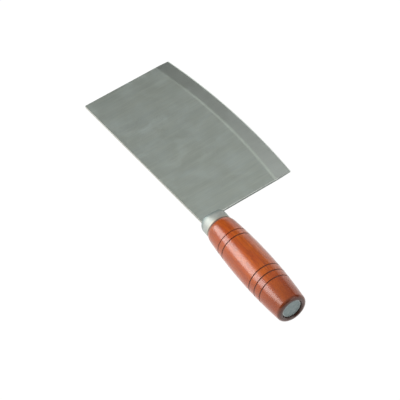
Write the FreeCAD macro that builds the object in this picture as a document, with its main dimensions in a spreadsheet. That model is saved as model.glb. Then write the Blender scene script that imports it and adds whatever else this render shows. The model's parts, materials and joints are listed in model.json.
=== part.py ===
import FreeCAD, Part
import math
import os
import re
import Sketcher

# Chinese-style kitchen cleaver with a rod tang and a turned wooden grip.
#
# The knife is drawn with the grip's axis along X: X = 0 is where the wood meets the ferrule, the blade
# lies at positive X with its spine towards +Y, and Z is the blade's normal. One shared placement then
# lays every piece down on its side: the swell of the grip and the blade's front end touch the ground
# plane Z = 0, and the origin is on that plane, under the middle of the whole knife.
# Lengths are in millimetres and angles in degrees.

# Driving sizes: alias, value, what it is.
SIZES = [
    ("spine_length", 203.0, "straight back of the blade, heel to front"),
    ("heel_width", 103.2, "blade's rear end, spine to edge"),
    ("tip_width", 102.6, "blade's front end, spine to edge"),
    ("edge_belly", 6.35, "how far the edge bows out from its chord"),
    ("blade_thickness", 2.4, "plate thickness"),
    ("rake", 3.32, "angle between the spine and the grip's axis"),
    ("tip_lean", 0.49, "front end's lean out of square with the spine"),
    ("heel_lean", 0.3, "rear end's lean out of square with the spine"),
    ("corner_round", 1.2, "radius of the blade's corners"),
    ("arris_ease", 0.2, "chamfer along the blade's outline"),
    ("bevel_width", 15.5, "ground bevel at the middle of the edge"),
    ("bevel_flare", 1.2, "extra width of the bevel at both ends"),
    ("bevel_skew", 1.7, "how much wider the bevel is at the heel than at the front"),
    ("edge_thickness", 0.6, "thickness behind the honed edge"),
    ("hone_angle", 15.0, "angle of the honed facets to the blade's plane"),
    ("hone_edge", 0.1, "thickness at the very edge"),
    ("spine_inset", 3.4, "spine's corner below the ferrule's outer radius"),
    ("heel_gap", 0.2, "gap between the ferrule's nose and the blade's rear corner"),
    ("tongue_thickness", 1.8, "plate behind the heel, ground thinner"),
    ("neck_inset", 0.5, "sides of the tongue's narrow end inside the rod's surface"),
    ("tongue_length", 28.0, "tongue behind the heel"),
    ("ferrule_length", 15.3, "wood to nose"),
    ("ferrule_radius", 13.5, "outer radius"),
    ("ferrule_wall", 1.2, "wall around the spigot and the rod's room"),
    ("nose_wall", 1.4, "wall in front of the room for the rod"),
    ("nose_round", 6.0, "radius between the side and the nose, seen on the blade's face"),
    ("slope_round", 9.5, "radius of the slopes down to the blade, seen along the blade"),
    ("slot_clearance", 0.1, "play around the tongue in the ferrule's slot"),
    ("rod_radius", 4.0, "tang rod"),
    ("rod_clearance", 0.25, "play between the rod and its bore"),
    ("rod_setback", 2.6, "rod's front end behind the outside of the nose"),
    ("rod_tail", 2.0, "rod beyond the nut"),
    ("fork_clearance", 0.05, "play between the tongue and the fork's sides"),
    ("weld_height", 1.5, "weld bead above the tongue's face"),
    ("weld_spread", 1.8, "weld bead beyond the rod's side"),
    ("weld_margin", 0.6, "clear length at each end of the bead"),
    ("weld_slope", 1.2, "sloped corner along the bead"),
    ("grip_length", 117.6, "wood, ferrule joint to butt"),
    ("wood_lip", 0.15, "wood standing proud of the ferrule at the joint"),
    ("shoulder_length", 6.0, "short curve that leads in to the ferrule"),
    ("shoulder_rise", 1.5, "gain in radius along the short curve"),
    ("belly_position", 60.0, "thickest place, behind the ferrule joint"),
    ("belly_rise", 2.55, "gain in radius from the short curve to the thickest place"),
    ("butt_drop", 3.1, "loss of radius from the thickest place to the butt"),
    ("butt_round", 3.6, "radius between the side and the butt, where the wood leaves room"),
    ("rim_share", 0.9, "most of the butt's flat rim that this radius may take up"),
    ("spigot_length", 7.0, "spigot inside the ferrule"),
    ("spigot_clearance", 0.05, "play between the spigot and the ferrule"),
    ("front_ring", 21.8, "first of the two front rings"),
    ("front_pitch", 7.4, "from one front ring to the next"),
    ("rear_ring", 74.4, "first of the three rear rings"),
    ("rear_pitch", 7.85, "from one rear ring to the next"),
    ("ring_radius", 0.55, "radius of each turned ring's round bottom"),
    ("pocket_depth", 16.5, "counterbore in the butt"),
    ("mouth_ease", 0.9, "chamfer around the counterbore's mouth"),
    ("cap_radius", 9.9, "butt cap"),
    ("cap_recess", 1.8, "cap below the butt's end"),
    ("cap_plate", 1.4, "cap's thickness"),
    ("cap_skirt", 5.0, "cap's height"),
    ("cap_round", 0.9, "cap's outer corner"),
    ("cap_clearance", 0.05, "play between the cap and the counterbore"),
    ("washer_radius", 8.0, "washer"),
    ("washer_thickness", 1.6, "washer"),
    ("nut_flats", 13.0, "nut across its flats"),
    ("nut_height", 6.5, "nut"),
]

# Worked-out sizes: alias, formula in the aliases above it.
DERIVED = [
    ("heel_x", "ferrule_length + heel_gap"),
    ("spine_y", "ferrule_radius - spine_inset"),
    ("spine_tip_x", "heel_x + spine_length * cos(rake)"),
    ("spine_tip_y", "spine_y + spine_length * sin(rake)"),
    ("tip_slant", "rake + tip_lean"),
    ("heel_slant", "rake - heel_lean"),
    ("edge_tip_x", "spine_tip_x + tip_width * sin(tip_slant)"),
    ("edge_tip_y", "spine_tip_y - tip_width * cos(tip_slant)"),
    ("edge_heel_x", "heel_x + heel_width * sin(heel_slant)"),
    ("edge_heel_y", "spine_y - heel_width * cos(heel_slant)"),
    ("chord_run", "edge_tip_x - edge_heel_x"),
    ("chord_rise", "edge_tip_y - edge_heel_y"),
    ("edge_chord", "sqrt(chord_run ^ 2 + chord_rise ^ 2)"),
    ("edge_slope", "atan(chord_rise / chord_run)"),
    ("edge_arc", "edge_chord ^ 2 / (8 * edge_belly) + edge_belly / 2"),
    ("edge_centre_x", "(edge_tip_x + edge_heel_x) / 2 - (edge_arc - edge_belly) * sin(edge_slope)"),
    ("edge_centre_y", "(edge_tip_y + edge_heel_y) / 2 + (edge_arc - edge_belly) * cos(edge_slope)"),
    ("bevel_belly", "edge_belly + bevel_flare"),
    ("bevel_arc", "edge_chord ^ 2 / (8 * bevel_belly) + bevel_belly / 2"),
    ("bevel_offset", "edge_arc - bevel_width - bevel_arc"),
    ("bevel_shift", "bevel_skew * bevel_arc / edge_chord"),
    ("bevel_centre_x", "edge_centre_x + bevel_offset * sin(edge_slope) + bevel_shift * cos(edge_slope)"),
    ("bevel_centre_y", "edge_centre_y - bevel_offset * cos(edge_slope) + bevel_shift * sin(edge_slope)"),
    ("bevel_reach", "bevel_width + bevel_flare + bevel_skew"),
    ("bevel_drop", "(blade_thickness - edge_thickness) / 2 / bevel_width"),
    ("hone_reach", "3 * edge_thickness / tan(hone_angle) / 2"),
    ("tongue_neck", "2 * (rod_radius - neck_inset)"),
    ("tongue_root_x", "heel_x + 2 * corner_round"),
    ("tongue_step_x", "spigot_length + weld_margin"),
    ("slot_half", "spine_y + slot_clearance"),
    ("rod_front", "ferrule_length - rod_setback"),
    ("fork_half", "tongue_thickness / 2 + fork_clearance"),
    ("bore_radius", "rod_radius + rod_clearance"),
    ("front_radius", "ferrule_radius + wood_lip"),
    ("spigot_radius", "ferrule_radius - ferrule_wall - spigot_clearance"),
    ("pocket_radius", "cap_radius + cap_clearance"),
    ("pocket_floor", "grip_length - pocket_depth"),
    ("shoulder_radius", "front_radius + shoulder_rise"),
    ("belly_radius", "shoulder_radius + belly_rise"),
    ("butt_radius", "belly_radius - butt_drop"),
    ("front_run", "belly_position - shoulder_length"),
    ("front_arc", "front_run ^ 2 / (2 * belly_rise) + belly_rise / 2"),
    ("rear_arc", "(grip_length - belly_position) ^ 2 / (2 * butt_drop) + butt_drop / 2"),
    ("shoulder_slope", "asin(front_run / front_arc)"),
    ("shoulder_sag", "shoulder_rise * cos(shoulder_slope) - shoulder_length * sin(shoulder_slope)"),
    ("shoulder_arc", "(shoulder_length ^ 2 + shoulder_rise ^ 2) / (2 * shoulder_sag)"),
    ("butt_fillet", "min(butt_round; rim_share * (butt_radius - pocket_radius - mouth_ease))"),
    ("cap_face", "grip_length - cap_recess"),
    ("rod_end", "pocket_floor + washer_thickness + nut_height + rod_tail"),
    ("reach_to_tip", "cos(tip_slant) * (spine_tip_x + belly_position) + sin(tip_slant) * spine_tip_y"),
    ("rise_to_centre", "blade_thickness / 2 + front_arc - belly_radius"),
    ("contact_span", "sqrt(reach_to_tip ^ 2 + rise_to_centre ^ 2)"),
    ("pitch", "asin(front_arc / contact_span) - atan(rise_to_centre / reach_to_tip)"),
    ("tip_distance", "cos(tip_slant) * spine_tip_x + sin(tip_slant) * spine_tip_y"),
    ("rest_height", "sin(pitch) * tip_distance + cos(pitch) * blade_thickness / 2"),
]

ALIASES = [row[0] for row in SIZES] + [row[0] for row in DERIVED] + ["shift_x", "shift_y"]
AIR = "1"   # how far a cutting profile reaches past the surface that it opens


def sized(formula):
    """The formula with every alias addressed in the sheet."""
    return re.sub(r"[a-z][a-z_]+", lambda word: address(word.group()), formula)


def address(word):
    return "Sizes." + word if word in ALIASES else word


def make_sheet(doc):
    sheet = doc.addObject("Spreadsheet::Sheet", "Sizes")
    rows = [(alias, str(value), note) for alias, value, note in SIZES]
    rows += [(alias, "=" + formula, "worked out") for alias, formula in DERIVED]
    rows += [(alias, "0", "origin under the middle of the knife") for alias in ("shift_x", "shift_y")]
    for number, (alias, content, note) in enumerate(rows, 1):
        sheet.set("A%d" % number, alias)
        sheet.set("B%d" % number, content)
        sheet.set("C%d" % number, note)
        sheet.setAlias("B%d" % number, alias)
    doc.recompute()
    return sheet


def make_body(doc, name):
    body = doc.addObject("PartDesign::Body", name)
    body.Label = name
    return body


def make_sketch(body, name, plane, offset=("0", "0", "0")):
    """A sketch on one of the body's origin planes, moved by formulas along its own three axes."""
    sketch = body.newObject("Sketcher::SketchObject", name)
    support = [item for item in body.Origin.OriginFeatures if item.Role == plane][0]
    sketch.AttachmentSupport = [(support, "")]
    sketch.MapMode = "FlatFace"
    for axis, formula in zip("xyz", offset):
        if formula != "0":
            sketch.setExpression("AttachmentOffset.Base." + axis, sized(formula))
    return sketch


def value_of(sketch, formula):
    result = sketch.evalExpression(sized(formula))
    return float(getattr(result, "Value", result))


def add_outline(sketch, corners, arcs=None):
    """Draws a closed outline whose corners are pairs of formulas.

    arcs maps the number of a corner to (radius formula, side): the stretch from that corner to the
    next is then an arc, which bows to the left of the direction of travel (side 1) or right (-1).
    """
    arcs = arcs or {}
    points = [FreeCAD.Vector(value_of(sketch, x), value_of(sketch, y), 0) for x, y in corners]
    first = sketch.GeometryCount
    ends = []
    for number, start in enumerate(points):
        stop = points[(number + 1) % len(points)]
        if number in arcs:
            shape = Part.Arc(start, arc_middle(start, stop, value_of(sketch, arcs[number][0]),
                                               arcs[number][1]), stop)
        else:
            shape = Part.LineSegment(start, stop)
        index = sketch.addGeometry(shape, False)
        forward = (sketch.getPoint(index, 1) - start).Length < (sketch.getPoint(index, 2) - start).Length
        ends.append((1, 2) if forward else (2, 1))
    for number, (x, y) in enumerate(corners):
        index = first + number
        before = (number - 1) % len(corners)
        sketch.addConstraint(Sketcher.Constraint("Coincident", first + before, ends[before][1],
                                                 index, ends[number][0]))
        place_point(sketch, index, ends[number][0], x, y)
    for number, (radius, _) in arcs.items():
        bind(sketch, Sketcher.Constraint("Radius", first + number, value_of(sketch, radius)), radius)


def arc_middle(start, stop, radius, side):
    """The halfway point of the shorter arc of this radius between two points."""
    half = (stop - start) * 0.5
    left = FreeCAD.Vector(-half.y, half.x, 0).normalize()
    bow = radius - math.sqrt(max(radius ** 2 - half.Length ** 2, 0))
    return start + half + left * (side * bow)


def place_point(sketch, index, end, x, y):
    """Fixes a point by its distances from the sketch's origin, or on an axis where one is zero."""
    for kind, formula, axis in (("DistanceX", x, -2), ("DistanceY", y, -1)):
        if formula == "0":
            sketch.addConstraint(Sketcher.Constraint("PointOnObject", index, end, axis))
        else:
            distance = value_of(sketch, formula)
            bind(sketch, Sketcher.Constraint(kind, -1, 1, index, end, distance), formula)


def bind(sketch, constraint, formula):
    number = sketch.addConstraint(constraint)
    sketch.setExpression("Constraints[%d]" % number, sized(formula))


def add_circle(sketch, x, y, radius):
    centre = FreeCAD.Vector(value_of(sketch, x), value_of(sketch, y), 0)
    circle = Part.Circle(centre, FreeCAD.Vector(0, 0, 1), value_of(sketch, radius))
    index = sketch.addGeometry(circle, False)
    place_point(sketch, index, 3, x, y)
    bind(sketch, Sketcher.Constraint("Radius", index, value_of(sketch, radius)), radius)


def rectangle(left, bottom, right, top):
    return [(left, bottom), (right, bottom), (right, top), (left, top)]


def make_pad(body, name, sketch, length, symmetric=False, backwards=False):
    pad = body.newObject("PartDesign::Pad", name)
    pad.Profile = sketch
    pad.setExpression("Length", sized(length))
    pad.Midplane = symmetric
    pad.Reversed = backwards
    return pad


def make_pocket(doc, body, name, sketch, length, symmetric=False, backwards=False):
    """A pocket that is checked to have taken material away."""
    doc.recompute()
    before = body.Shape.Volume
    pocket = body.newObject("PartDesign::Pocket", name)
    pocket.Profile = sketch
    pocket.setExpression("Length", sized(length))
    pocket.Midplane = symmetric
    pocket.Reversed = backwards
    check_cut(doc, body, name, before)
    return pocket


def make_groove(doc, body, name, sketch, axis):
    """A turned cut that is checked to have taken material away."""
    doc.recompute()
    before = body.Shape.Volume
    groove = body.newObject("PartDesign::Groove", name)
    groove.Profile = sketch
    groove.ReferenceAxis = (sketch, [axis])
    groove.Angle = 360
    check_cut(doc, body, name, before)
    return groove


def check_cut(doc, body, name, before):
    doc.recompute()
    if not body.Shape.Volume < before - 1e-3:
        raise RuntimeError(name + " cut nothing")


def make_revolution(body, name, sketch):
    """Turns a half profile, drawn above the grip's axis, into a solid."""
    revolution = body.newObject("PartDesign::Revolution", name)
    revolution.Profile = sketch
    revolution.ReferenceAxis = (sketch, ["H_Axis"])
    revolution.Angle = 360
    return revolution


def make_blade(doc):
    """Plate, eased outline, tongue, then the ground bevels and the honed edge."""
    body = make_body(doc, "blade")
    outline = make_sketch(body, "blade_outline", "XY_Plane")
    add_outline(outline, [("heel_x", "spine_y"), ("edge_heel_x", "edge_heel_y"),
                          ("edge_tip_x", "edge_tip_y"), ("spine_tip_x", "spine_tip_y")],
                arcs={1: ("edge_arc", -1)})
    plate = make_pad(body, "plate", outline, "blade_thickness", symmetric=True)
    doc.recompute()
    corners = [(value_of(outline, x), value_of(outline, y)) for x, y in
               (("edge_heel_x", "edge_heel_y"), ("edge_tip_x", "edge_tip_y"), ("spine_tip_x", "spine_tip_y"))]
    rounding = body.newObject("PartDesign::Fillet", "corner_rounding")
    rounding.Base = (plate, [upright_edge(plate.Shape, x, y) for x, y in corners])
    rounding.setExpression("Radius", sized("corner_round"))
    doc.recompute()
    easing = body.newObject("PartDesign::Chamfer", "arris_easing")
    easing.Base = (rounding, flat_edges(rounding.Shape))
    easing.setExpression("Size", sized("arris_ease"))
    make_tongue(body)
    add_bevels(doc, body)
    return body


def upright_edge(shape, x, y):
    """Name of the edge that runs along Z at (x, y)."""
    gaps = []
    for number, edge in enumerate(shape.Edges, 1):
        ends = [vertex.Point for vertex in edge.Vertexes]
        if len(ends) == 2 and abs(ends[0].z - ends[1].z) > 1e-3:
            gaps.append((math.hypot(ends[0].x - x, ends[0].y - y), number))
    return "Edge%d" % min(gaps)[1]


def flat_edges(shape):
    """Names of all edges that run level, around both faces of the plate."""
    return ["Edge%d" % number for number, edge in enumerate(shape.Edges, 1)
            if abs(edge.BoundBox.ZLength) < 1e-3]


def make_tongue(body):
    """The wide root fills the ferrule's slot, and the neck goes into the rod's fork."""
    sketch = make_sketch(body, "tongue_outline", "XY_Plane")
    top = "spine_y - arris_ease"
    end = "heel_x - tongue_length"
    add_outline(sketch, [("tongue_root_x", "-spine_y"), ("tongue_root_x", top), ("tongue_step_x", top),
                         ("tongue_step_x", "tongue_neck / 2"), (end, "tongue_neck / 2"),
                         (end, "-tongue_neck / 2"), ("tongue_step_x", "-tongue_neck / 2"),
                         ("tongue_step_x", "-spine_y")])
    make_pad(body, "tongue", sketch, "tongue_thickness", symmetric=True)


def add_bevels(doc, body):
    """Cones about axes square to the blade cut the wide bevels, then the narrow honed facets."""
    bevel = make_sketch(body, "bevel_section", "YZ_Plane", ("bevel_centre_y", "0", "bevel_centre_x"))
    half = "blade_thickness / 2"
    low = half + " - bevel_drop * bevel_reach"
    for sign in ("", "-"):
        section = [("-bevel_arc", half), ("-bevel_arc", half + " + " + AIR),
                   ("-bevel_arc - bevel_reach", half + " + " + AIR), ("-bevel_arc - bevel_reach", low)]
        add_outline(bevel, [(y, "%s1 * (%s)" % (sign, z)) for y, z in section])
    make_groove(doc, body, "bevels", bevel, "V_Axis")
    hone = make_sketch(body, "hone_section", "YZ_Plane", ("edge_centre_y", "0", "edge_centre_x"))
    very_edge = "hone_edge / 2"
    for sign in ("", "-"):
        section = [("-edge_arc + hone_reach", very_edge + " + hone_reach * tan(hone_angle)"),
                   ("-edge_arc + hone_reach", half + " + " + AIR), ("-edge_arc - " + AIR, half + " + " + AIR),
                   ("-edge_arc - " + AIR, very_edge), ("-edge_arc", very_edge)]
        add_outline(hone, [(y, "%s1 * (%s)" % (sign, z)) for y, z in section])
    make_groove(doc, body, "honed_edge", hone, "V_Axis")


def make_tang_rod(doc):
    """Round rod with a forked front end over the tongue's neck."""
    body = make_body(doc, "tang_rod")
    round_sketch = make_sketch(body, "rod_section", "YZ_Plane", ("0", "0", "rod_front"))
    add_circle(round_sketch, "0", "0", "rod_radius")
    make_pad(body, "rod", round_sketch, "rod_front + rod_end", backwards=True)
    fork = make_sketch(body, "fork_section", "YZ_Plane", ("0", "0", "rod_front"))
    side = "rod_radius + " + AIR
    add_outline(fork, rectangle("-(%s)" % side, "-fork_half", side, "fork_half"))
    make_pocket(doc, body, "fork", fork, "rod_front - heel_x + tongue_length + fork_clearance")
    return body


def make_tang_weld(doc):
    """Four beads in the corners between the rod's sides and the tongue's root."""
    block = doc.addObject("Part::Box", "weld_block")
    half_width = "(rod_radius + weld_spread)"
    half_height = "(tongue_thickness / 2 + weld_height)"
    start = "tongue_step_x"
    bead = "rod_front - tongue_step_x - weld_margin"
    fit_box(block, start, bead, half_width, half_height)
    doc.recompute()
    sloped = doc.addObject("Part::Chamfer", "weld_slopes")
    sloped.Base = block
    cut = value_of(block, "weld_slope")
    sloped.Edges = [(number, cut, cut) for number, edge in enumerate(block.Shape.Edges, 1)
                    if edge.BoundBox.XLength > 1e-3]
    rod = doc.addObject("Part::Cylinder", "weld_rod_room")
    rod.setExpression("Radius", sized("rod_radius"))
    rod.setExpression("Height", sized("rod_front + " + AIR))
    rod.Placement = FreeCAD.Placement(FreeCAD.Vector(), FreeCAD.Rotation(FreeCAD.Vector(0, 1, 0), 90))
    plate = doc.addObject("Part::Box", "weld_plate_room")
    fit_box(plate, "0", "rod_front + " + AIR, half_width + " + " + AIR, "tongue_thickness / 2")
    room = doc.addObject("Part::MultiFuse", "weld_room")
    room.Shapes = [rod, plate]
    weld = doc.addObject("Part::Cut", "tang_weld")
    weld.Label = "tang_weld"
    weld.Base = sloped
    weld.Tool = room
    return weld


def fit_box(box, start, length, half_width, half_height):
    """Binds a box that is centred on the grip's axis."""
    for name, formula in (("Length", length), ("Width", "2 * %s" % half_width),
                          ("Height", "2 * (%s)" % half_height), ("Placement.Base.x", start),
                          ("Placement.Base.y", "-1 * (%s)" % half_width),
                          ("Placement.Base.z", "-1 * (%s)" % half_height)):
        box.setExpression(name, sized(formula))


def make_ferrule(doc):
    """Turned steel cap: round in plan, sloped down to the blade on both faces, slotted for the tongue."""
    body = make_body(doc, "ferrule")
    section = make_sketch(body, "cap_profile", "XZ_Plane")
    room = "rod_radius + weld_spread + ferrule_wall"
    room_end = "ferrule_length - nose_wall"
    seat = "ferrule_radius - ferrule_wall"
    add_outline(section, [("0", "ferrule_radius"), ("ferrule_length - nose_round", "ferrule_radius"),
                          ("ferrule_length", "ferrule_radius - nose_round"), ("ferrule_length", "0"),
                          (room_end, "0"), (room_end, room), ("tongue_step_x", room),
                          ("tongue_step_x", seat), ("0", seat)],
                arcs={1: ("nose_round", 1)})
    make_revolution(body, "turned_cap", section)
    slopes = make_sketch(body, "slope_sections", "XZ_Plane")
    start = "ferrule_length - slope_round"
    for sign in ("", "-"):
        cut = [(start, "ferrule_radius"), ("ferrule_length", "ferrule_radius - slope_round"),
               ("ferrule_length + " + AIR, "ferrule_radius - slope_round"),
               ("ferrule_length + " + AIR, "ferrule_radius + " + AIR), (start, "ferrule_radius + " + AIR)]
        add_outline(slopes, [(x, "%s1 * (%s)" % (sign, z)) for x, z in cut],
                    arcs={0: ("slope_round", -1 if sign else 1)})
    make_pocket(doc, body, "slopes", slopes, "2 * ferrule_radius + " + AIR, symmetric=True)
    slot = make_sketch(body, "slot_section", "YZ_Plane")
    half = "(tongue_thickness / 2 + slot_clearance)"
    add_outline(slot, rectangle("-slot_half", "-" + half, "slot_half", half))
    make_pocket(doc, body, "slot", slot, "ferrule_length + " + AIR, backwards=True)
    return body


def make_handle_grip(doc):
    """Turned grip: spigot, short shoulder curve, long belly curve, rounded butt, bore, counterbore."""
    body = make_body(doc, "handle_grip")
    section = make_sketch(body, "grip_section", "XZ_Plane")
    add_outline(section, [("0", "front_radius"), ("0", "spigot_radius"), ("spigot_length", "spigot_radius"),
                          ("spigot_length", "bore_radius"), ("-pocket_floor", "bore_radius"),
                          ("-pocket_floor", "pocket_radius"), ("-grip_length + mouth_ease", "pocket_radius"),
                          ("-grip_length", "pocket_radius + mouth_ease"), ("-grip_length", "butt_radius"),
                          ("-belly_position", "belly_radius"), ("-shoulder_length", "shoulder_radius")],
                arcs={8: ("rear_arc", 1), 9: ("front_arc", 1), 10: ("shoulder_arc", 1)})
    turned = make_revolution(body, "turned_grip", section)
    doc.recompute()
    rounding = body.newObject("PartDesign::Fillet", "butt_rounding")
    rim = (-value_of(section, "grip_length"), value_of(section, "butt_radius"))
    rounding.Base = (turned, [rim_edge(turned.Shape, *rim)])
    rounding.setExpression("Radius", sized("butt_fillet"))
    rings = make_sketch(body, "ring_sections", "XZ_Plane")
    for start, spacing, count, arc in (("front_ring", "front_pitch", 2, "front_arc"),
                                       ("rear_ring", "rear_pitch", 3, "rear_arc")):
        for number in range(count):
            place = "(%s + %d * %s)" % (start, number, spacing)
            add_circle(rings, "-" + place, surface_radius(place, arc), "ring_radius")
    make_groove(doc, body, "burnt_rings", rings, "H_Axis")
    return body


def surface_radius(place, arc):
    """Formula for the grip's radius at a place behind the ferrule joint, on one of its long curves."""
    return "belly_radius - %s + sqrt(%s ^ 2 - (%s - belly_position) ^ 2)" % (arc, arc, place)


def rim_edge(shape, x, radius):
    """Name of the circular edge of this radius about the grip's axis at x."""
    gaps = []
    for number, edge in enumerate(shape.Edges, 1):
        box = edge.BoundBox
        gaps.append((abs(box.XMin - x) + abs(box.XMax - x) + abs(box.ZMax - radius), number))
    return "Edge%d" % min(gaps)[1]


def make_butt_washer(doc):
    body = make_body(doc, "butt_washer")
    section = make_sketch(body, "washer_section", "YZ_Plane", ("0", "0", "-pocket_floor"))
    add_circle(section, "0", "0", "washer_radius")
    add_circle(section, "0", "0", "bore_radius")
    make_pad(body, "washer", section, "washer_thickness", backwards=True)
    return body


def make_butt_nut(doc):
    body = make_body(doc, "butt_nut")
    section = make_sketch(body, "nut_section", "YZ_Plane", ("0", "0", "-pocket_floor - washer_thickness"))
    corner = "nut_flats / 2 / cos(30)"
    add_outline(section, [("%s * cos(%d)" % (corner, turn), "%s * sin(%d)" % (corner, turn))
                          for turn in range(30, 390, 60)])
    add_circle(section, "0", "0", "rod_radius")
    make_pad(body, "nut", section, "nut_height", backwards=True)
    return body


def make_butt_cap(doc):
    """Shallow pressed cup, open towards the nut."""
    body = make_body(doc, "butt_cap")
    section = make_sketch(body, "cap_section", "XZ_Plane")
    inner = "cap_radius - cap_plate"
    add_outline(section, [("-cap_face", "0"), ("-cap_face", "cap_radius - cap_round"),
                          ("-cap_face + cap_round", "cap_radius"), ("-cap_face + cap_skirt", "cap_radius"),
                          ("-cap_face + cap_skirt", inner), ("-cap_face + cap_plate", inner),
                          ("-cap_face + cap_plate", "0")],
                arcs={1: ("cap_round", 1)})
    make_revolution(body, "cap", section)
    return body


def lay_down(doc, sheet, pieces):
    """Gives every piece the same placement, then brings the origin under the middle."""
    turn = "rotation(vector(-sin(tip_slant); cos(tip_slant); 0); pitch)"
    lying = "placement(vector(shift_x; shift_y; rest_height); %s)" % turn
    for piece in pieces:
        piece.setExpression("Placement", sized(lying))
    doc.recompute()
    box = Part.makeCompound([piece.Shape for piece in pieces]).optimalBoundingBox(False)
    for alias, low, high in (("shift_x", box.XMin, box.XMax), ("shift_y", box.YMin, box.YMax)):
        sheet.set(alias, str(-(low + high) / 2))
    doc.recompute()


def check(doc, pieces):
    for item in doc.Objects:
        if "Invalid" in item.State or "Error" in item.State:
            raise RuntimeError("%s failed: %s" % (item.Label, item.State))
    for piece in pieces:
        if piece.Shape.isNull() or not piece.Shape.isValid():
            raise RuntimeError(piece.Label + " has no valid shape")


def main():
    doc = FreeCAD.newDocument("cleaver")
    sheet = make_sheet(doc)
    makers = [make_blade, make_tang_rod, make_tang_weld, make_ferrule, make_handle_grip,
              make_butt_washer, make_butt_nut, make_butt_cap]
    pieces = [maker(doc) for maker in makers]
    lay_down(doc, sheet, pieces)
    check(doc, pieces)
    os.makedirs("parts", exist_ok=True)
    for piece in pieces:
        piece.Shape.exportStep("parts/%s.step" % piece.Label)
        print("%-12s %10.1f mm3  solids %d" % (piece.Label, piece.Shape.Volume, len(piece.Shape.Solids)))


main()
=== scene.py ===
import json
import math

import bpy
from mathutils import Matrix, Vector


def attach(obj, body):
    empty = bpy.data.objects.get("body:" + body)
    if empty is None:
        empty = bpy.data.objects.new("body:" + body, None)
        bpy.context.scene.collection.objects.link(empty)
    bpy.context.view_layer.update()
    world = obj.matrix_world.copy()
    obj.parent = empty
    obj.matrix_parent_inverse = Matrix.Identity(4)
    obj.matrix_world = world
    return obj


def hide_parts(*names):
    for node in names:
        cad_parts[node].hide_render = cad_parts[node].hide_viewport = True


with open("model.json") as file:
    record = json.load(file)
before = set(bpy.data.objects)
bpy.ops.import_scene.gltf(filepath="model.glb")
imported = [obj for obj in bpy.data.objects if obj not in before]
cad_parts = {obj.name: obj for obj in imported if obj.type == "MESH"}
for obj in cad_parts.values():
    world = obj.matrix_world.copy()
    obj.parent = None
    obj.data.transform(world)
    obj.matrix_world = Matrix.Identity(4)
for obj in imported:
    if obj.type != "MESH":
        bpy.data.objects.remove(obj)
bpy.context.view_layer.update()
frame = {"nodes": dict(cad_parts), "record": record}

# Lengths are in metres unless a name ends in _MM. The knife's own axes: ALONG is the grip's axis
# towards the blade, FACE the blade's normal, SPINEWARD square to both. JOINT is the point of the
# grip's axis where the wood meets the ferrule.
MM = 0.001
BELLY_POSITION = 60.0 * MM
MOUNTS = {mount["name"]: mount for mount in frame["record"]["mounts"]}
ALONG = Vector(MOUNTS["grip"]["axis"]).normalized()
FACE = Vector(MOUNTS["blade_face"]["axis"]).normalized()
SPINEWARD = FACE.cross(ALONG).normalized()
JOINT = Vector(MOUNTS["grip"]["pos_m"]) + ALONG * BELLY_POSITION


def knife_matrix():
    columns = Matrix((ALONG, SPINEWARD, FACE)).transposed().to_4x4()
    return Matrix.Translation(JOINT) @ columns


KNIFE = knife_matrix()

# The grip's own sizes, within 0.01 mm of the CAD's.
GRIP_LENGTH = 117.6 * MM
FRONT_RADIUS = 13.65 * MM
SHOULDER_LENGTH = 6.0 * MM
SHOULDER_RADIUS = 15.15 * MM
BELLY_RADIUS = 17.7 * MM
BUTT_RADIUS = 14.6 * MM
BUTT_ROUND = 3.37 * MM
SPIGOT_LENGTH = 7.0 * MM
SPIGOT_RADIUS = 12.25 * MM
BORE_RADIUS = 4.25 * MM
POCKET_RADIUS = 9.95 * MM
POCKET_DEPTH = 16.5 * MM
MOUTH_EASE = 0.9 * MM
RING_RADIUS = 0.55 * MM
RINGS = [place * MM for place in (21.8, 29.2, 74.4, 82.25, 90.1)]

# The ferrule's own sizes, as in the CAD.
FERRULE_LENGTH = 15.3 * MM
FERRULE_RADIUS = 13.5 * MM
NOSE_ROUND = 6.0 * MM
SLOPE_ROUND = 9.5 * MM
SEAT_RADIUS = 12.3 * MM
SEAT_END = 7.6 * MM
ROOM_RADIUS = 7.0 * MM
ROOM_END = 13.9 * MM

# How the grip's outline is drawn.
SHOULDER_CURVE = 1.6                # an exponent that keeps within 0.04 mm of the CAD's arc
SIDE_STEPS = 150                    # along the whole grip
RING_ROOM = 0.8 * MM                # kept clear of those steps, on each side of a ring
RING_STEPS = 9                      # from a ring's middle to its rim
RING_LIP = 0.12 * MM                # first point outside a ring's rim
FRONT_EASE = 0.2 * MM               # the sharp front edge of the wood, barely eased
BUTT_STEPS = 12
BUTT_GAP = 0.1 * MM                 # kept clear between the side's last point and the round butt
MOUTH_STEPS = 5
MOUTH_RIM = 0.15 * MM               # a point this far outside the mouth, on the flat butt
POCKET_LIP = 3.0 * MM               # a point this deep in the counterbore

# How the ferrule's outline is drawn.
CREASE = 1.8 * MM                   # softens the line where the slopes meet the round nose
RUN_OUT = 1.5                       # how steeply a slope rises behind the place where it starts
BESIDE_THE_SLOPES = 0.05            # sine of the turn below which no slope reaches
TINY = 0.05 * MM                    # radius of the points that stand for the axis
REAR_EASE = 0.1 * MM
WIDE_STEPS = 16                     # along the straight part behind the nose
FIRST_WIDE_STEP = 2
NOSE_STEPS = 24
FRONT_SHARES = (0.85, 0.6)          # radii of the points on the flat front, as shares of its own

# Both turned pieces have this many sides, and edges sharper than the angle stay crisp.
LATHE_SIDES = 144
SHARP_ANGLE = math.radians(35.0)


# ---------------------------------------------------------------- node helpers

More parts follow.
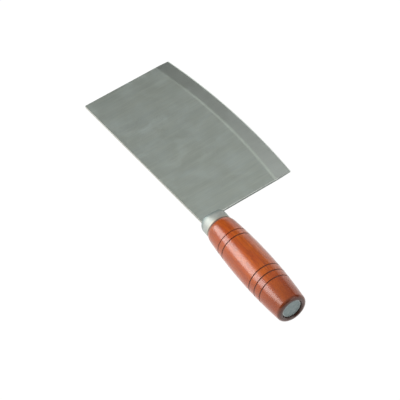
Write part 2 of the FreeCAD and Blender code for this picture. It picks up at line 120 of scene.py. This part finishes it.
class Nodes:
    """A short way to write a material's node graph."""

    def __init__(self, name):
        self.material = bpy.data.materials.new(name)
        self.material.use_nodes = True
        self.tree = self.material.node_tree
        self.tree.nodes.clear()
        self.output = self.add("ShaderNodeOutputMaterial")

    def add(self, kind, **settings):
        node = self.tree.nodes.new(kind)
        for key, value in settings.items():
            setattr(node, key, value)
        return node

    def put(self, socket, value):
        if isinstance(value, bpy.types.NodeSocket):
            self.tree.links.new(value, socket)
        elif value is not None:
            socket.default_value = value

    def math(self, operation, a, b=None):
        node = self.add("ShaderNodeMath", operation=operation)
        for socket, value in zip(node.inputs, (a, b)):
            self.put(socket, value)
        return node.outputs[0]

    def product(self, a, b):
        return self.math("MULTIPLY", a, b)

    def distance(self, a, b):
        """The length of a plane vector with these two components."""
        return self.math("SQRT", self.math("ADD", self.math("POWER", a, 2.0),
                                           self.math("POWER", b, 2.0)))

    def vector(self, operation, a, b, out=0):
        node = self.add("ShaderNodeVectorMath", operation=operation)
        self.put(node.inputs[0], a)
        self.put(node.inputs[1], b)
        return node.outputs[out]

    def knife_mm(self):
        """The knife's own coordinates in millimetres, as three sockets."""
        place = self.add("ShaderNodeTexCoord").outputs["Object"]
        offset = self.vector("SUBTRACT", place, tuple(JOINT))
        return [self.product(self.vector("DOT_PRODUCT", offset, tuple(axis), "Value"), 1 / MM)
                for axis in (ALONG, SPINEWARD, FACE)]

    def facing(self, axis, low, high):
        """A mask of the surface that faces along the axis. low and high are cosines."""
        normal = self.add("ShaderNodeNewGeometry").outputs["Normal"]
        return self.span(self.vector("DOT_PRODUCT", normal, tuple(axis), "Value"), low, high)

    def noise(self, axes, per_mm, detail=4.0, rough=0.5, distortion=0.0, layer=0.0):
        """Noise over two or three axes, each with its own frequency. A layer tells patterns apart."""
        place = self.add("ShaderNodeCombineXYZ")
        self.put(place.inputs["Z"], layer)
        for socket, axis, frequency in zip(place.inputs, axes, per_mm):
            self.put(socket, self.product(axis, frequency))
        node = self.add("ShaderNodeTexNoise")
        self.put(node.inputs["Vector"], place.outputs[0])
        self.put(node.inputs["Scale"], 1.0)
        self.put(node.inputs["Detail"], detail)
        self.put(node.inputs["Roughness"], rough)
        self.put(node.inputs["Distortion"], distortion)
        return node.outputs["Fac"]

    def span(self, value, low, high, start=0.0, end=1.0, smooth=True):
        node = self.add("ShaderNodeMapRange")
        node.interpolation_type = "SMOOTHSTEP" if smooth else "LINEAR"
        for key, item in (("Value", value), ("From Min", low), ("From Max", high),
                          ("To Min", start), ("To Max", end)):
            self.put(node.inputs[key], item)
        return node.outputs["Result"]

    def mix(self, factor, a, b):
        node = self.add("ShaderNodeMix", data_type="RGBA")
        self.put(node.inputs["Factor"], factor)
        self.put(node.inputs["A"], a if isinstance(a, bpy.types.NodeSocket) else (*a, 1.0))
        self.put(node.inputs["B"], b if isinstance(b, bpy.types.NodeSocket) else (*b, 1.0))
        return node.outputs["Result"]

    def bump(self, height, distance, strength):
        node = self.add("ShaderNodeBump")
        self.put(node.inputs["Height"], height)
        self.put(node.inputs["Distance"], distance)
        self.put(node.inputs["Strength"], strength)
        return node.outputs["Normal"]

    def shade(self, **values):
        shader = self.add("ShaderNodeBsdfPrincipled")
        for key, value in values.items():
            socket = shader.inputs[key.replace("_", " ")]
            if isinstance(value, tuple) and len(value) == 3:
                value = (*value, 1.0)
            self.put(socket, value)
        self.tree.links.new(shader.outputs["BSDF"], self.output.inputs["Surface"])
        return self.material


# ---------------------------------------------------------------- materials

# Places in the materials are millimetres in the knife's own axes, from JOINT. The first two numbers
# of a span are where a change starts and where it is complete. A mix's factor says how much of its
# last colour covers the one before.
BEVEL_X_MM, BEVEL_Y_MM = 85.84, 617.07      # the ground bevel starts at an arc about this centre,
BEVEL_ARC_MM = 695.61                       # with this radius
HEEL_START_MM = 16.03                       # where the blade's rear end crosses the grip's axis
HEEL_TANGENT = 0.0528                       # how far the rear end leans, per length down it
HEEL_MM, TIP_MM = 10.0, 225.0               # the blade's ends, with a little to spare
GRIND_SLANT = math.radians(3.8)             # grinding lines run parallel to the blade's front end
BUTT_MM = GRIP_LENGTH / MM
PITH_Y_MM, PITH_Z_MM = -31.0, -22.0         # the tree's pith lies beside and below the grip
GROWTH_RINGS_PER_MM = 0.42
RING_WANDER = 3.2                           # how many rings the noise shifts them by
FINE_BUMP = 0.01 * MM
GRAIN_BUMP = 0.03 * MM
CAST_BUMP = 0.04 * MM
WELD_BUMP = 0.3 * MM


def blade_steel():
    n = Nodes("blade_steel")
    x, y = n.knife_mm()[:2]
    cosine, sine = math.cos(GRIND_SLANT), math.sin(GRIND_SLANT)
    across = n.math("ADD", n.product(x, cosine), n.product(y, sine))
    down = n.math("SUBTRACT", n.product(y, cosine), n.product(x, sine))
    run = n.distance(n.math("SUBTRACT", x, BEVEL_X_MM), n.math("SUBTRACT", y, BEVEL_Y_MM))
    past = n.math("SUBTRACT", run, BEVEL_ARC_MM)
    bevel = n.span(past, -0.6, 0.6)
    shoulder = n.product(n.span(past, -2.8, -0.1), n.span(past, 1.8, 0.1))
    bands = n.noise((across, down), (0.22, 0.018), detail=3.0, rough=0.65)
    lines = n.noise((across, down), (1.1, 0.03), detail=5.0, rough=0.75, layer=4.0)
    hair = n.noise((across, down), (3.0, 0.08), detail=3.0, rough=0.6, layer=9.0)
    cloud = n.noise((x, y), (0.028, 0.028), detail=3.0, rough=0.55, distortion=0.4, layer=2.0)
    stain = n.noise((x, y), (0.075, 0.06), detail=5.0, rough=0.6, distortion=0.5, layer=7.0)
    colour = n.mix(n.span(cloud, 0.35, 0.68), (0.578, 0.641, 0.572), (0.627, 0.703, 0.656))
    colour = n.mix(n.span(bands, 0.3, 0.7, 0.0, 0.6), colour, (0.705, 0.770, 0.692))
    colour = n.mix(n.span(stain, 0.45, 0.75, 0.0, 0.22), colour, (0.69, 0.802, 0.792))
    colour = n.mix(n.span(lines, 0.3, 0.7, 0.0, 0.34), colour, (0.540, 0.592, 0.532))
    # The bevel is painted brighter towards the heel, a painted reflection, and a painted highlight
    # marks the line where it starts.
    heelward = n.span(x, TIP_MM, HEEL_MM, smooth=False)
    polish_and_painted_reflection = n.mix(heelward, (0.61, 0.662, 0.607), (0.93, 0.99, 0.93))
    colour = n.mix(n.product(bevel, 0.6), colour, polish_and_painted_reflection)
    painted_shoulder_highlight = n.span(x, 215.0, 130.0, 0.1, 0.8)
    colour = n.mix(n.product(shoulder, painted_shoulder_highlight), colour, (0.91, 1.0, 0.90))
    # The cut rear end's face is coloured near black, and a narrow strip beside it carries a painted
    # highlight, where its eased edge would catch the light.
    end_face = n.facing(-ALONG, 0.75, 0.95)
    heel = n.math("SUBTRACT", x, n.math("ADD", n.product(y, -HEEL_TANGENT), HEEL_START_MM))
    painted_heel_glint = n.product(n.span(heel, 1.3, 0.5), n.math("SUBTRACT", 1.0, end_face))
    colour = n.mix(n.product(painted_heel_glint, 0.35), colour, (0.86, 0.90, 0.84))
    colour = n.mix(n.product(end_face, 0.8), colour, (0.08, 0.085, 0.08))
    # The spine and the front end, picked by which way they face, are rougher and painted darker,
    # painted shade that tones down their glints; the spine's is warmer.
    spine_face = n.facing(SPINEWARD, 0.45, 0.65)
    front_face = n.facing(ALONG, 0.1, 0.3)
    colour = n.mix(spine_face, colour, (0.56, 0.555, 0.51))
    colour = n.mix(front_face, colour, (0.46, 0.48, 0.45))
    rough = n.math("ADD", n.span(hair, 0.2, 0.8, 0.36, 0.44), n.span(stain, 0.4, 0.8, 0.0, 0.06))
    rough = n.math("SUBTRACT", rough, n.product(bevel, 0.09))
    rough = n.math("MAXIMUM", rough, n.product(n.math("MAXIMUM", spine_face, front_face), 0.85))
    height = n.math("ADD", n.product(lines, 0.6), n.product(hair, 0.4))
    return n.shade(Base_Color=colour, Metallic=1.0, Roughness=rough,
                   Normal=n.bump(height, FINE_BUMP, 0.5))


def ferrule_steel():
    n = Nodes("ferrule_steel")
    axes = n.knife_mm()
    x = axes[0]
    turned = n.noise(axes, (5.0, 0.03, 0.03), detail=4.0, rough=0.7)
    smudge = n.noise(axes, (0.25, 0.2, 0.2), detail=4.0, rough=0.6, distortion=0.5)
    colour = n.mix(n.span(smudge, 0.35, 0.7), (0.46, 0.485, 0.45), (0.53, 0.555, 0.525))
    # The nose is painted darker and cooler, a painted reflection of darker surroundings; the rear end
    # is tinted warm, and takes dirt from the wood at the joint.
    colour = n.mix(n.span(x, 6.5, 11.5, 0.0, 0.7), colour, (0.21, 0.275, 0.265))
    colour = n.mix(n.span(x, 3.2, 0.6, 0.0, 0.4), colour, (0.62, 0.50, 0.36))
    dirt = n.span(x, 0.3, 1.0, 1.0, 0.0)
    colour = n.mix(n.product(dirt, 0.75), colour, (0.12, 0.09, 0.07))
    rough = n.math("ADD", n.span(smudge, 0.3, 0.7, 0.60, 0.68), n.span(turned, 0.3, 0.7, 0.0, 0.05))
    return n.shade(Base_Color=colour, Metallic=1.0, Roughness=rough,
                   Normal=n.bump(turned, FINE_BUMP, 0.3))


def wood_figure(n, axes):
    """The bare stained wood: its colour, with painted shade on its sides, and the fibres and pores
    that also shape its surface.
    """
    y, z = axes[1:]
    wander = n.noise(axes, (0.012, 0.05, 0.05), detail=2.0)
    pith = n.distance(n.math("SUBTRACT", y, PITH_Y_MM), n.math("SUBTRACT", z, PITH_Z_MM))
    growth = n.math("ADD", n.product(pith, GROWTH_RINGS_PER_MM), n.product(wander, RING_WANDER))
    wave = n.math("SINE", n.product(growth, 2 * math.pi))
    ring = n.math("ADD", n.product(wave, 0.5), 0.5)
    fibre = n.noise(axes, (0.05, 1.1, 1.1), detail=5.0, rough=0.65)
    pores = n.noise(axes, (0.22, 3.4, 3.4), detail=2.0, rough=0.5)
    patch = n.noise(axes, (0.035, 0.07, 0.07), detail=2.0)
    colour = n.mix(n.span(patch, 0.3, 0.7), (0.50, 0.072, 0.0010), (0.62, 0.125, 0.0018))
    vein = n.product(n.span(ring, 0.45, 1.0), n.span(wander, 0.35, 0.7, 0.15, 0.5))
    colour = n.mix(vein, colour, (0.33, 0.042, 0.0025))
    colour = n.mix(n.span(fibre, 0.42, 0.72, 0.0, 0.5), colour, (0.28, 0.038, 0.0025))
    mottle = n.noise(axes, (0.07, 0.2, 0.2), detail=4.0, rough=0.6, distortion=1.4)
    colour = n.mix(n.span(mottle, 0.48, 0.68, 0.0, 0.5), colour, (0.33, 0.045, 0.0015))
    pore = n.span(pores, 0.62, 0.72)
    colour = n.mix(n.product(pore, 0.45), colour, (0.13, 0.022, 0.005))
    # The sides are painted darker than the two faces: painted shade.
    painted_side_shade = n.span(n.math("ABSOLUTE", z), 14.5, 6.5, 0.0, 0.65)
    return n.mix(painted_side_shade, colour, (0.29, 0.048, 0.004)), fibre, pore


def burnt_rings(n, x):
    """How dark each turned ring is burnt, the front one least."""
    burnt = None
    for number, place in enumerate(RINGS):
        gap = n.math("ABSOLUTE", n.math("ADD", x, place / MM))
        line = n.span(gap, 0.25, 1.1, 0.45 if number == 0 else 0.8, 0.0)
        burnt = line if burnt is None else n.math("MAXIMUM", burnt, line)
    return burnt


def lacquered_wood():
    n = Nodes("lacquered_wood")
    x, y, z = n.knife_mm()
    colour, fibre, pore = wood_figure(n, (x, y, z))
    colour = n.mix(burnt_rings(n, x), colour, (0.115, 0.022, 0.006))
    # Both ends of the grip are darker.
    colour = n.mix(n.span(x, -80.0, -110.0, 0.0, 0.6), colour, (0.25, 0.040, 0.004))
    colour = n.mix(n.span(x, -20.0, -2.0, 0.0, 0.3), colour, (0.27, 0.045, 0.004))
    # The butt's end grain soaks up stain and goes dark, darkened further as painted shade where the
    # round end turns from the light, and the counterbore's wall is painted dark as a painted shadow.
    radius = n.distance(y, z)
    end = n.span(x, 4.2 - BUTT_MM, 0.7 - BUTT_MM)
    mouth = n.span(radius, 14.6, 11.6)
    end_stain_and_shade = n.product(end, n.math("ADD", n.product(mouth, 0.32), 0.62))
    painted_pocket_shadow = n.product(n.span(radius, 10.9, 10.1), n.span(x, -90.0, -100.0))
    colour = n.mix(n.math("MAXIMUM", end_stain_and_shade, painted_pocket_shadow), colour, (0.055, 0.020, 0.013))
    # A dark line runs round the joint with the ferrule.
    colour = n.mix(n.span(x, -2.6, -0.9, 0.0, 0.85), colour, (0.085, 0.028, 0.010))
    height = n.math("SUBTRACT", n.product(fibre, 0.35), n.product(pore, 0.65))
    return n.shade(Base_Color=colour, Roughness=n.span(fibre, 0.3, 0.7, 0.34, 0.48),
                   Specular_IOR_Level=0.1, Coat_Weight=1.0, Coat_Roughness=0.24, Coat_IOR=1.48,
                   Normal=n.bump(height, GRAIN_BUMP, 0.5))


def cap_metal():
    n = Nodes("cap_metal")
    axes = n.knife_mm()
    grain = n.noise(axes, (1.0, 2.2, 2.2), detail=6.0, rough=0.7)
    smudge = n.noise(axes, (1.0, 0.35, 0.35), detail=3.0, distortion=0.6)
    rim = n.span(n.distance(*axes[1:]), 8.3, 9.5, 0.0, 0.5)
    colour = n.mix(n.span(smudge, 0.3, 0.7), (0.21, 0.255, 0.255), (0.265, 0.31, 0.305))
    colour = n.mix(rim, colour, (0.74, 0.76, 0.74))
    colour = n.mix(n.span(grain, 0.55, 0.75, 0.0, 0.3), colour, (0.25, 0.29, 0.30))
    return n.shade(Base_Color=colour, Metallic=1.0, Roughness=n.span(grain, 0.2, 0.8, 0.42, 0.62),
                   Normal=n.bump(grain, CAST_BUMP, 0.5))


def plain_steel():
    n = Nodes("plain_steel")
    grain = n.noise(n.knife_mm(), (3.0, 0.4, 0.4), detail=4.0, rough=0.6)
    colour = n.mix(n.span(grain, 0.3, 0.7), (0.46, 0.47, 0.46), (0.58, 0.59, 0.57))
    return n.shade(Base_Color=colour, Metallic=1.0, Roughness=n.span(grain, 0.3, 0.7, 0.3, 0.45),
                   Normal=n.bump(grain, GRAIN_BUMP, 0.5))


def weld_metal():
    n = Nodes("weld_metal")
    ripple = n.noise(n.knife_mm(), (2.4, 0.8, 0.8), detail=3.0, rough=0.6)
    colour = n.mix(n.span(ripple, 0.3, 0.7), (0.20, 0.18, 0.17), (0.36, 0.35, 0.33))
    return n.shade(Base_Color=colour, Metallic=1.0, Roughness=n.span(ripple, 0.3, 0.7, 0.45, 0.7),
                   Normal=n.bump(ripple, WELD_BUMP, 0.8))


def dress(obj, material):
    obj.data.materials.clear()
    obj.data.materials.append(material)


# ---------------------------------------------------------------- the grip and ferrule, turned

def arc_radius(place, crown_radius, crown_place, end_radius, end_place):
    """Radius on a circular arc whose crown is at one place and which passes through another."""
    run, drop = end_place - crown_place, crown_radius - end_radius
    curve = run * run / (2 * drop) + drop / 2
    return crown_radius - curve + math.sqrt(curve * curve - (place - crown_place) ** 2)


def bare_radius(place):
    """The grip's radius before its rings are cut."""
    if place < SHOULDER_LENGTH:
        rise = 1 - (1 - place / SHOULDER_LENGTH) ** SHOULDER_CURVE
        return FRONT_RADIUS + (SHOULDER_RADIUS - FRONT_RADIUS) * rise
    if place < BELLY_POSITION:
        return arc_radius(place, BELLY_RADIUS, BELLY_POSITION, SHOULDER_RADIUS, SHOULDER_LENGTH)
    return arc_radius(place, BELLY_RADIUS, BELLY_POSITION, BUTT_RADIUS, GRIP_LENGTH)


def side_radius(place):
    """The grip's radius with its rings cut."""
    radius = bare_radius(place)
    for ring in RINGS:
        gap = abs(place - ring)
        if gap < RING_RADIUS:
            radius -= math.sqrt(RING_RADIUS ** 2 - gap ** 2)
    return radius


def side_places():
    """Where the side's profile has its points: close together in the rings."""
    places = [GRIP_LENGTH * step / SIDE_STEPS for step in range(SIDE_STEPS)]
    places = [place for place in places if all(abs(place - ring) > RING_ROOM for ring in RINGS)]
    for ring in RINGS:
        for step in range(-RING_STEPS, RING_STEPS + 1):
            places.append(ring + RING_RADIUS * math.sin(step / RING_STEPS * math.pi / 2))
        places += [ring - RING_RADIUS - RING_LIP, ring + RING_RADIUS + RING_LIP]
    limit = GRIP_LENGTH - BUTT_ROUND - BUTT_GAP
    return sorted(place for place in places if FRONT_EASE < place < limit)


def grip_profile():
    """Outline of (place behind the joint, radius), from the spigot round to the bore."""
    points = [(-SPIGOT_LENGTH, BORE_RADIUS), (-SPIGOT_LENGTH, SPIGOT_RADIUS), (0.0, SPIGOT_RADIUS),
              (0.0, FRONT_RADIUS - FRONT_EASE), (0.3 * FRONT_EASE, FRONT_RADIUS - 0.3 * FRONT_EASE)]
    points += [(place, side_radius(place)) for place in side_places()]
    start = GRIP_LENGTH - BUTT_ROUND
    rim = bare_radius(start) - BUTT_ROUND
    for step in range(BUTT_STEPS + 1):
        turn = step / BUTT_STEPS * math.pi / 2
        points.append((start + BUTT_ROUND * math.sin(turn), rim + BUTT_ROUND * math.cos(turn)))
    points.append((GRIP_LENGTH, POCKET_RADIUS + MOUTH_EASE + MOUTH_RIM))
    for step in range(MOUTH_STEPS + 1):
        ease = MOUTH_EASE * math.sin(step / MOUTH_STEPS * math.pi / 2)
        points.append((GRIP_LENGTH - ease, POCKET_RADIUS + MOUTH_EASE - ease))
    floor = GRIP_LENGTH - POCKET_DEPTH
    points += [(GRIP_LENGTH - POCKET_LIP, POCKET_RADIUS), (floor, POCKET_RADIUS), (floor, BORE_RADIUS)]
    return points


def quarter(length, radius, round_radius, place):
    """Radius at a place on a profile that ends in a quarter circle at length."""
    past = place - (length - round_radius)
    if past <= 0:
        return radius
    return radius - round_radius + math.sqrt(max(round_radius ** 2 - past ** 2, 0))


def sloped_radius(place, radius, turn):
    """The ferrule's radius, brought down on both faces by its slopes."""
    rise = abs(math.sin(turn))
    slope_start = FERRULE_LENGTH - SLOPE_ROUND
    if rise < BESIDE_THE_SLOPES:
        return radius
    height = quarter(FERRULE_LENGTH, FERRULE_RADIUS, SLOPE_ROUND, place)
    height += max(slope_start - place, 0) * RUN_OUT
    flat = height / rise
    overlap = max(CREASE - abs(flat - radius), 0)
    return min(flat, radius) - overlap ** 2 / (4 * CREASE)


def ferrule_profile():
    """Outline of (place before the joint, radius, whether the slopes cut it)."""
    points = [(0.0, SEAT_RADIUS, False), (0.0, FERRULE_RADIUS - REAR_EASE, False),
              (REAR_EASE, FERRULE_RADIUS, False)]
    nose_start = FERRULE_LENGTH - NOSE_ROUND
    points += [(nose_start * step / WIDE_STEPS, FERRULE_RADIUS, True)
               for step in range(FIRST_WIDE_STEP, WIDE_STEPS + 1)]
    for step in range(1, NOSE_STEPS + 1):
        place = nose_start + NOSE_ROUND * math.sin(step / NOSE_STEPS * math.pi / 2)
        points.append((place, quarter(FERRULE_LENGTH, FERRULE_RADIUS, NOSE_ROUND, place), True))
    front = FERRULE_RADIUS - NOSE_ROUND
    points += [(FERRULE_LENGTH, front * share, True) for share in FRONT_SHARES]
    points += [(FERRULE_LENGTH, TINY, False), (ROOM_END, TINY, False), (ROOM_END, ROOM_RADIUS, False),
               (SEAT_END, ROOM_RADIUS, False), (SEAT_END, SEAT_RADIUS, False)]
    return points


def lathe(name, profile):
    """Turns a closed outline of (place, radius, whether the slopes cut it) about the grip's axis."""
    verts, faces = [], []
    for place, radius, cut in profile:
        for side in range(LATHE_SIDES):
            turn = 2 * math.pi * side / LATHE_SIDES
            reach = sloped_radius(place, radius, turn) if cut else radius
            verts.append(KNIFE @ Vector((place, reach * math.cos(turn), reach * math.sin(turn))))
    count = len(profile)
    for row in range(count):
        after = (row + 1) % count
        for side in range(LATHE_SIDES):
            beside = (side + 1) % LATHE_SIDES
            faces.append((row * LATHE_SIDES + side, after * LATHE_SIDES + side,
                          after * LATHE_SIDES + beside, row * LATHE_SIDES + beside))
    mesh = bpy.data.meshes.new(name)
    mesh.from_pydata(verts, [], faces)
    mesh.update()
    obj = bpy.data.objects.new(name, mesh)
    bpy.context.scene.collection.objects.link(obj)
    mesh.shade_smooth()
    mesh.set_sharp_from_angle(angle=SHARP_ANGLE)
    return obj


# ---------------------------------------------------------------- the pieces

finishes = {make.__name__: make() for make in
            (blade_steel, ferrule_steel, lacquered_wood, cap_metal, plain_steel, weld_metal)}
for part in frame["record"]["subparts"]:
    dress(frame["nodes"][part["node"]], finishes[part["material_slot"]])


def show_instead(obj, node, slot):
    dress(obj, finishes[slot])
    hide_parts(node)
    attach(obj, "root")


grip = lathe("grip_wood", [(-place, radius, False) for place, radius in reversed(grip_profile())])
show_instead(grip, "handle_grip", "lacquered_wood")
ferrule = lathe("ferrule_cap", ferrule_profile())
show_instead(ferrule, "ferrule", "ferrule_steel")


# ---------------------------------------------------------------- stage, lights, camera

FLOOR_REACH = 12.0
FLOOR_LEVEL = -0.2 * MM
WALL_RADIUS = 9.0
WALL_HEIGHT = 1.6
WALL_SIDES = 96
WHITE = (1.0, 1.0, 1.0, 1.0)


def stage_material():
    """Plain white that gives its own light, so the knife throws no shadow on it."""
    material = bpy.data.materials.new("floor")
    material.use_nodes = True
    shader = material.node_tree.nodes["Principled BSDF"]
    shader.inputs["Base Color"].default_value = (0.02, 0.02, 0.02, 1.0)
    shader.inputs["Roughness"].default_value = 0.9
    shader.inputs["Emission Color"].default_value = WHITE
    shader.inputs["Emission Strength"].default_value = 1.0
    # White all round, so rays find it by themselves: sampling it as a lamp would only add noise.
    material.cycles.emission_sampling = "NONE"
    return material


def stage_piece(name, verts, faces, material):
    mesh = bpy.data.meshes.new(name)
    mesh.from_pydata(verts, [], faces)
    mesh.materials.append(material)
    piece = bpy.data.objects.new(name, mesh)
    bpy.context.scene.collection.objects.link(piece)


def make_stage():
    """A floor, and a low wall round it, so that level views end in white."""
    white = stage_material()
    corners = [(x * FLOOR_REACH, y * FLOOR_REACH, FLOOR_LEVEL)
               for x, y in ((-1, -1), (1, -1), (1, 1), (-1, 1))]
    stage_piece("floor", corners, [(0, 1, 2, 3)], white)
    verts, faces = [], []
    for side in range(WALL_SIDES):
        turn = 2 * math.pi * side / WALL_SIDES
        for height in (FLOOR_LEVEL, WALL_HEIGHT):
            verts.append((WALL_RADIUS * math.cos(turn), WALL_RADIUS * math.sin(turn), height))
        after = 2 * ((side + 1) % WALL_SIDES)
        faces.append((2 * side, after, after + 1, 2 * side + 1))
    stage_piece("backdrop", verts, faces, white)


# Each light's direction from the knife, distance, width, height and radiance. Radiance is what a
# mirror would show.
LIGHTS = {
    "key": ((0.56, 0.65, 0.49), 1.3, 0.92, 0.68, 8.0),
    "front": ((-0.75, -0.45, 0.5), 1.6, 1.0, 0.9, 1.6),
    "fill": ((0.60, -0.75, 0.28), 1.6, 1.2, 0.5, 0.95),
}
OVERHEAD = ((-1.2, -1.9, 1.5), (1.45, 1.1, 1.5), 0.43)      # two corners and radiance
WORLD_STRENGTH = 0.09


def add_light(name, width, height, radiance):
    data = bpy.data.lights.new(name, "AREA")
    data.shape = "RECTANGLE"
    data.size, data.size_y = width, height
    data.energy = radiance * math.pi * width * height
    light = bpy.data.objects.new(name, data)
    bpy.context.scene.collection.objects.link(light)
    return light


def make_lights():
    """Three soft lights that face the knife's middle, and a level one that faces down."""
    for name, (direction, distance, width, height, radiance) in LIGHTS.items():
        light = add_light(name, width, height, radiance)
        way = Vector(direction).normalized()
        light.location = way * distance
        light.rotation_euler = way.to_track_quat("Z", "Y").to_euler()
    low, high, radiance = OVERHEAD
    light = add_light("overhead", high[0] - low[0], high[1] - low[1], radiance)
    light.location = (Vector(low) + Vector(high)) / 2


def make_world():
    world = bpy.data.worlds.new("studio")
    world.use_nodes = True
    background = world.node_tree.nodes["Background"]
    background.inputs["Color"].default_value = WHITE
    background.inputs["Strength"].default_value = WORLD_STRENGTH
    bpy.context.scene.world = world


# The photograph's point of view.
AZIMUTH, ELEVATION, ROLL = (math.radians(angle) for angle in (240.91, 49.99, -4.11))
AIM = Vector((-0.0029, 0.0275, 0.0))
DISTANCE = 1.419
LENS_MM, SENSOR_MM = 135.0, 36.0


def make_camera():
    back = Vector((math.sin(AZIMUTH) * math.cos(ELEVATION), -math.cos(AZIMUTH) * math.cos(ELEVATION),
                   math.sin(ELEVATION)))
    level = Vector((0.0, 0.0, 1.0)).cross(back).normalized()
    rise = back.cross(level)
    right = level * math.cos(ROLL) + rise * math.sin(ROLL)
    up = rise * math.cos(ROLL) - level * math.sin(ROLL)
    data = bpy.data.cameras.new("camera")
    data.lens, data.sensor_width = LENS_MM, SENSOR_MM
    data.clip_start, data.clip_end = 0.05, 50.0
    camera = bpy.data.objects.new("camera", data)
    camera.matrix_world = Matrix.Translation(AIM + back * DISTANCE) @ Matrix(
        (right, up, back)).transposed().to_4x4()
    bpy.context.scene.collection.objects.link(camera)
    bpy.context.scene.camera = camera


make_stage()
make_world()
make_lights()
make_camera()
bpy.context.scene.view_settings.view_transform = "Standard"
